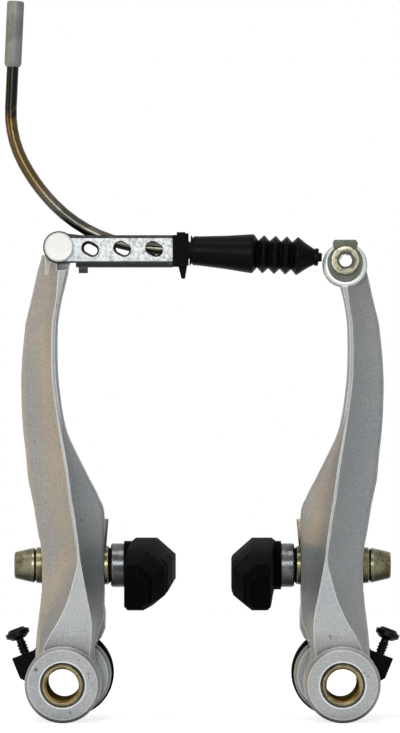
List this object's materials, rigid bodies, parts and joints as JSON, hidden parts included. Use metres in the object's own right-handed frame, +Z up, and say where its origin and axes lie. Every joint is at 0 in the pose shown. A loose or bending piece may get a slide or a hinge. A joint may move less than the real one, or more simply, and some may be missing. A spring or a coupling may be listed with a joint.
{
  "type": "bicycle rim brake",
  "caption": "Linear pull bicycle rim brake: cast arms on pivot bushes, moulded rubber pads, folded link with bent cable guide tube, rubber boot and cable anchor.",
  "frame": {"origin": "axis of the left pivot at the rear face of its bush, where the post of the bicycle enters", "axes": "+X towards the right arm, +Y away from the viewer towards the bicycle, +Z up along the arms"},
  "size_m": [0.0998, 0.063, 0.1806],
  "materials": {
    "silver_arm": "satin silver with a fine grain",
    "zinc_steel": "yellow zinc plated, worn",
    "link_steel": "zinc plated sheet, mottled",
    "bright_steel": "polished rivet head",
    "spring_steel": "plain drawn wire",
    "dark_chrome": "dark polished tube with brown tints",
    "grey_ferrule": "matt grey",
    "black_rubber": "matt black",
    "black_boot": "soft black with a slight sheen",
    "black_plastic": "moulded black",
    "black_steel": "black oxide"
  },
  "bodies": {
    "mounts": {"bush_left": "zinc_steel", "bush_right": "zinc_steel"},
    "left_arm": {"arm_left": "silver_arm", "spring_left": "spring_steel", "spring_holder_left": "black_plastic", "stop_pin_left": "spring_steel", "link_pin": "bright_steel"},
    "left_clamp": {"inner_dome_washer_left": "zinc_steel", "inner_cup_washer_left": "zinc_steel", "outer_cup_washer_left": "zinc_steel", "outer_dome_washer_left": "zinc_steel", "pad_nut_left": "zinc_steel"},
    "left_pad": {"pad_left": "black_rubber", "pad_stud_left": "zinc_steel"},
    "left_screw": {"tension_screw_left": "black_steel"},
    "right_arm": {"arm_right": "silver_arm", "spring_right": "spring_steel", "spring_holder_right": "black_plastic", "stop_pin_right": "spring_steel", "anchor_washer": "zinc_steel", "anchor_bolt": "zinc_steel"},
    "right_clamp": {"inner_dome_washer_right": "zinc_steel", "inner_cup_washer_right": "zinc_steel", "outer_cup_washer_right": "zinc_steel", "outer_dome_washer_right": "zinc_steel", "pad_nut_right": "zinc_steel"},
    "right_pad": {"pad_right": "black_rubber", "pad_stud_right": "zinc_steel"},
    "right_screw": {"tension_screw_right": "black_steel"},
    "link": {"link": "link_steel", "link_clip": "black_plastic", "noodle_tube": "dark_chrome", "noodle_liner": "black_plastic", "noodle_ferrule": "grey_ferrule", "noodle_tip": "link_steel", "boot": "black_boot"}
  },
  "joints": [
    {"name": "left_arm_pivot", "type": "hinge", "parent": "mounts", "child": "left_arm", "pos_m": [0, 0, 0], "axis": [0, 1, 0], "range_deg": [-25, 5], "stiffness_Nm_per_rad": 1.2, "deforming": ["spring_left", "boot"]},
    {"name": "left_pad_height", "type": "slide", "parent": "left_arm", "child": "left_clamp", "axis": [0, 0, 1], "range_m": [-0.0045, 0.0045]},
    {"name": "left_pad_tilt", "type": "hinge", "parent": "left_clamp", "child": "left_pad", "pos_m": [0.0102, -0.0124, 0.0295], "axis": [1, 0, 0], "range_deg": [-18, 18]},
    {"name": "left_tension_screw", "type": "slide", "parent": "left_arm", "child": "left_screw", "axis": [0.3549, 0, -0.9349], "range_m": [-0.0015, 0.0015]},
    {"name": "right_arm_pivot", "type": "hinge", "parent": "mounts", "child": "right_arm", "pos_m": [0.0698, 0, 0], "axis": [0, -1, 0], "range_deg": [-25, 5], "stiffness_Nm_per_rad": 1.2, "deforming": ["spring_right", "boot"]},
    {"name": "right_pad_height", "type": "slide", "parent": "right_arm", "child": "right_clamp", "axis": [0, 0, 1], "range_m": [-0.0045, 0.0045]},
    {"name": "right_pad_tilt", "type": "hinge", "parent": "right_clamp", "child": "right_pad", "pos_m": [0.0596, -0.0124, 0.0295], "axis": [1, 0, 0], "range_deg": [-18, 18]},
    {"name": "right_tension_screw", "type": "slide", "parent": "right_arm", "child": "right_screw", "axis": [-0.3549, 0, -0.9349], "range_m": [-0.0015, 0.0015]},
    {"name": "link_pivot", "type": "hinge", "parent": "left_arm", "child": "link", "pos_m": [-0.001, -0.015, 0.10925], "axis": [0, 1, 0], "range_deg": [-60, 15]}
  ]
}
